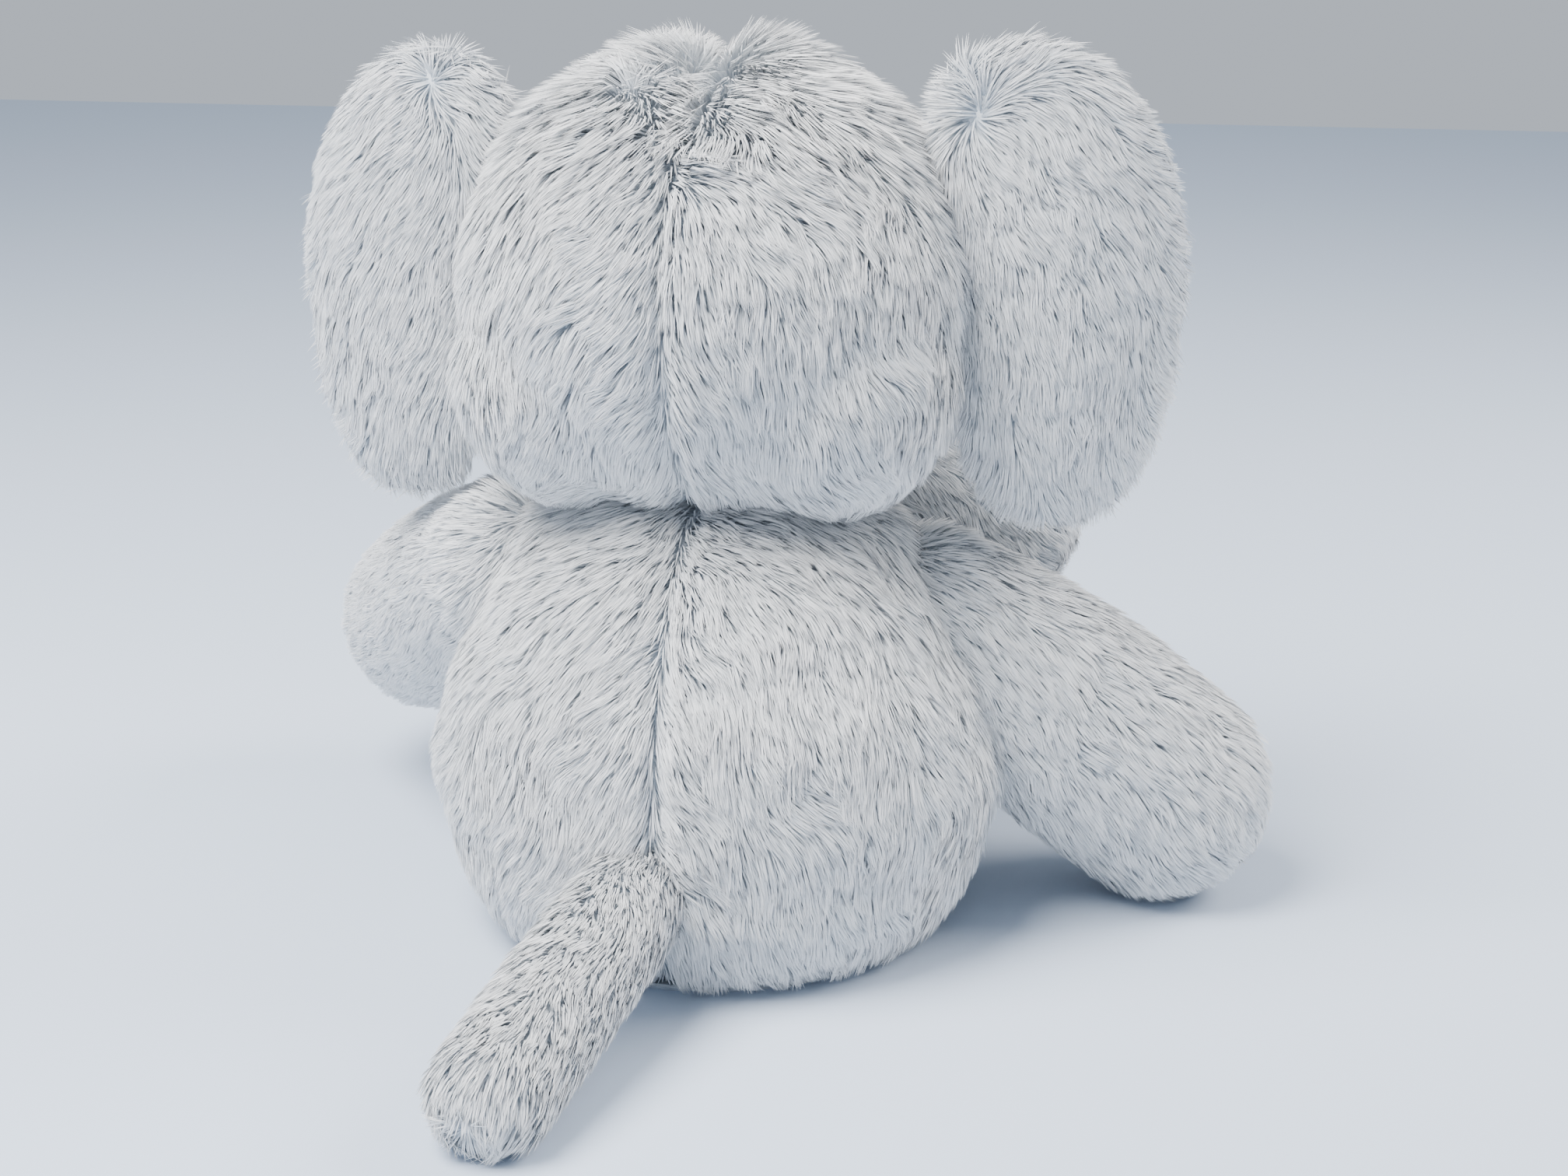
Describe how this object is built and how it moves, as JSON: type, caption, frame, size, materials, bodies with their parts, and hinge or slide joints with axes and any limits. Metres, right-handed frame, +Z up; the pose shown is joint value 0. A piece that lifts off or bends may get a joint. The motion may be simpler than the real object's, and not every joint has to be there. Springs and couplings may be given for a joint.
{
  "type": "stuffed elephant",
  "caption": "Sitting long-pile plush elephant with big floppy ears, swept trunk, short tusks, soft stub limbs and a thick tail, made of sewn stuffed parts.",
  "frame": {"origin": "middle of the flat seat base's underside, on the surface that the toy sits on", "axes": "+Z up, the face and trunk look toward -Y, the tail lies toward +Y, the toy's own left is +X"},
  "size_m": [0.5364, 0.572, 0.4579],
  "materials": {
    "plush_grey": "long-pile polyester plush, light cool grey",
    "velour_pale": "short-pile velour, warm pale grey",
    "velour_white": "short-pile velour, off-white",
    "fibre_stuffing": "loose polyester fibre",
    "cotton_bag": "plain woven cotton",
    "eye_plastic": "polished black",
    "washer_plastic": "moulded natural white"
  },
  "bodies": {
    "torso": {"body_back_left": "plush_grey", "body_back_right": "plush_grey", "body_belly": "plush_grey", "seat_base": "plush_grey", "body_stuffing": "fibre_stuffing", "pellet_bag": "cotton_bag"},
    "neck": {"neck_plug": "plush_grey"},
    "head": {"head_left": "plush_grey", "head_right": "plush_grey", "head_stuffing": "fibre_stuffing", "eye_left": "eye_plastic", "eye_right": "eye_plastic", "eye_washer_left": "washer_plastic", "eye_washer_right": "washer_plastic", "tusk_left": "velour_white", "tusk_right": "velour_white", "tusk_stuffing_left": "fibre_stuffing", "tusk_stuffing_right": "fibre_stuffing"},
    "ear_left": {"ear_back_left": "plush_grey", "ear_lining_left": "velour_pale", "ear_stuffing_left": "fibre_stuffing"},
    "ear_right": {"ear_back_right": "plush_grey", "ear_lining_right": "velour_pale", "ear_stuffing_right": "fibre_stuffing"},
    "trunk_base": {"trunk_base_skin": "plush_grey", "trunk_base_stuffing": "fibre_stuffing"},
    "trunk_tip": {"trunk_tip_skin": "plush_grey", "trunk_tip_stuffing": "fibre_stuffing"},
    "arm_left": {"arm_left_skin": "plush_grey", "arm_left_stuffing": "fibre_stuffing"},
    "arm_right": {"arm_right_skin": "plush_grey", "arm_right_stuffing": "fibre_stuffing"},
    "leg_left": {"leg_left_skin": "plush_grey", "leg_left_stuffing": "fibre_stuffing", "leg_left_sole": "velour_pale"},
    "leg_right": {"leg_right_skin": "plush_grey", "leg_right_stuffing": "fibre_stuffing", "leg_right_sole": "velour_pale"},
    "tail": {"tail_skin": "plush_grey", "tail_stuffing": "fibre_stuffing"}
  },
  "joints": [
    {"name": "head_turn", "type": "hinge", "parent": "torso", "child": "neck", "pos_m": [0, -0.0098, 0.242], "axis": [0, 0, 1], "range_deg": [-12, 12]},
    {"name": "head_nod", "type": "hinge", "parent": "neck", "child": "head", "pos_m": [0, -0.0098, 0.242], "axis": [1, 0, 0], "range_deg": [-8, 5]},
    {"name": "ear_fold_left", "type": "hinge", "parent": "head", "child": "ear_left", "pos_m": [0.128, -0.014, 0.34], "axis": [0, 0, 1], "range_deg": [-22, 22]},
    {"name": "ear_fold_right", "type": "hinge", "parent": "head", "child": "ear_right", "pos_m": [-0.128, -0.014, 0.34], "axis": [0, 0, -1], "range_deg": [-22, 22]},
    {"name": "trunk_lift", "type": "hinge", "parent": "head", "child": "trunk_base", "pos_m": [0, -0.094, 0.308], "axis": [1, 0, 0], "range_deg": [-16, 4]},
    {"name": "trunk_curl", "type": "hinge", "parent": "trunk_base", "child": "trunk_tip", "pos_m": [-0.04445, -0.20365, 0.21909], "axis": [0, 1, 0], "range_deg": [-4, 24]},
    {"name": "arm_left_swing", "type": "hinge", "parent": "torso", "child": "arm_left", "pos_m": [0.113, -0.024, 0.18], "axis": [1, 0, 0], "range_deg": [-14, 5]},
    {"name": "arm_right_lift", "type": "hinge", "parent": "torso", "child": "arm_right", "pos_m": [-0.113, -0.024, 0.18], "axis": [0, 1, 0], "range_deg": [0, 32]},
    {"name": "leg_left_lift", "type": "hinge", "parent": "torso", "child": "leg_left", "pos_m": [0.078, -0.098, 0.0515], "axis": [1, 0, 0], "range_deg": [-8, 0]},
    {"name": "leg_right_lift", "type": "hinge", "parent": "torso", "child": "leg_right", "pos_m": [-0.078, -0.098, 0.0515], "axis": [1, 0, 0], "range_deg": [-8, 0]},
    {"name": "tail_lift", "type": "hinge", "parent": "torso", "child": "tail", "pos_m": [0.012, 0.128, 0.06], "axis": [1, 0, 0], "range_deg": [0, 36]}
  ]
}
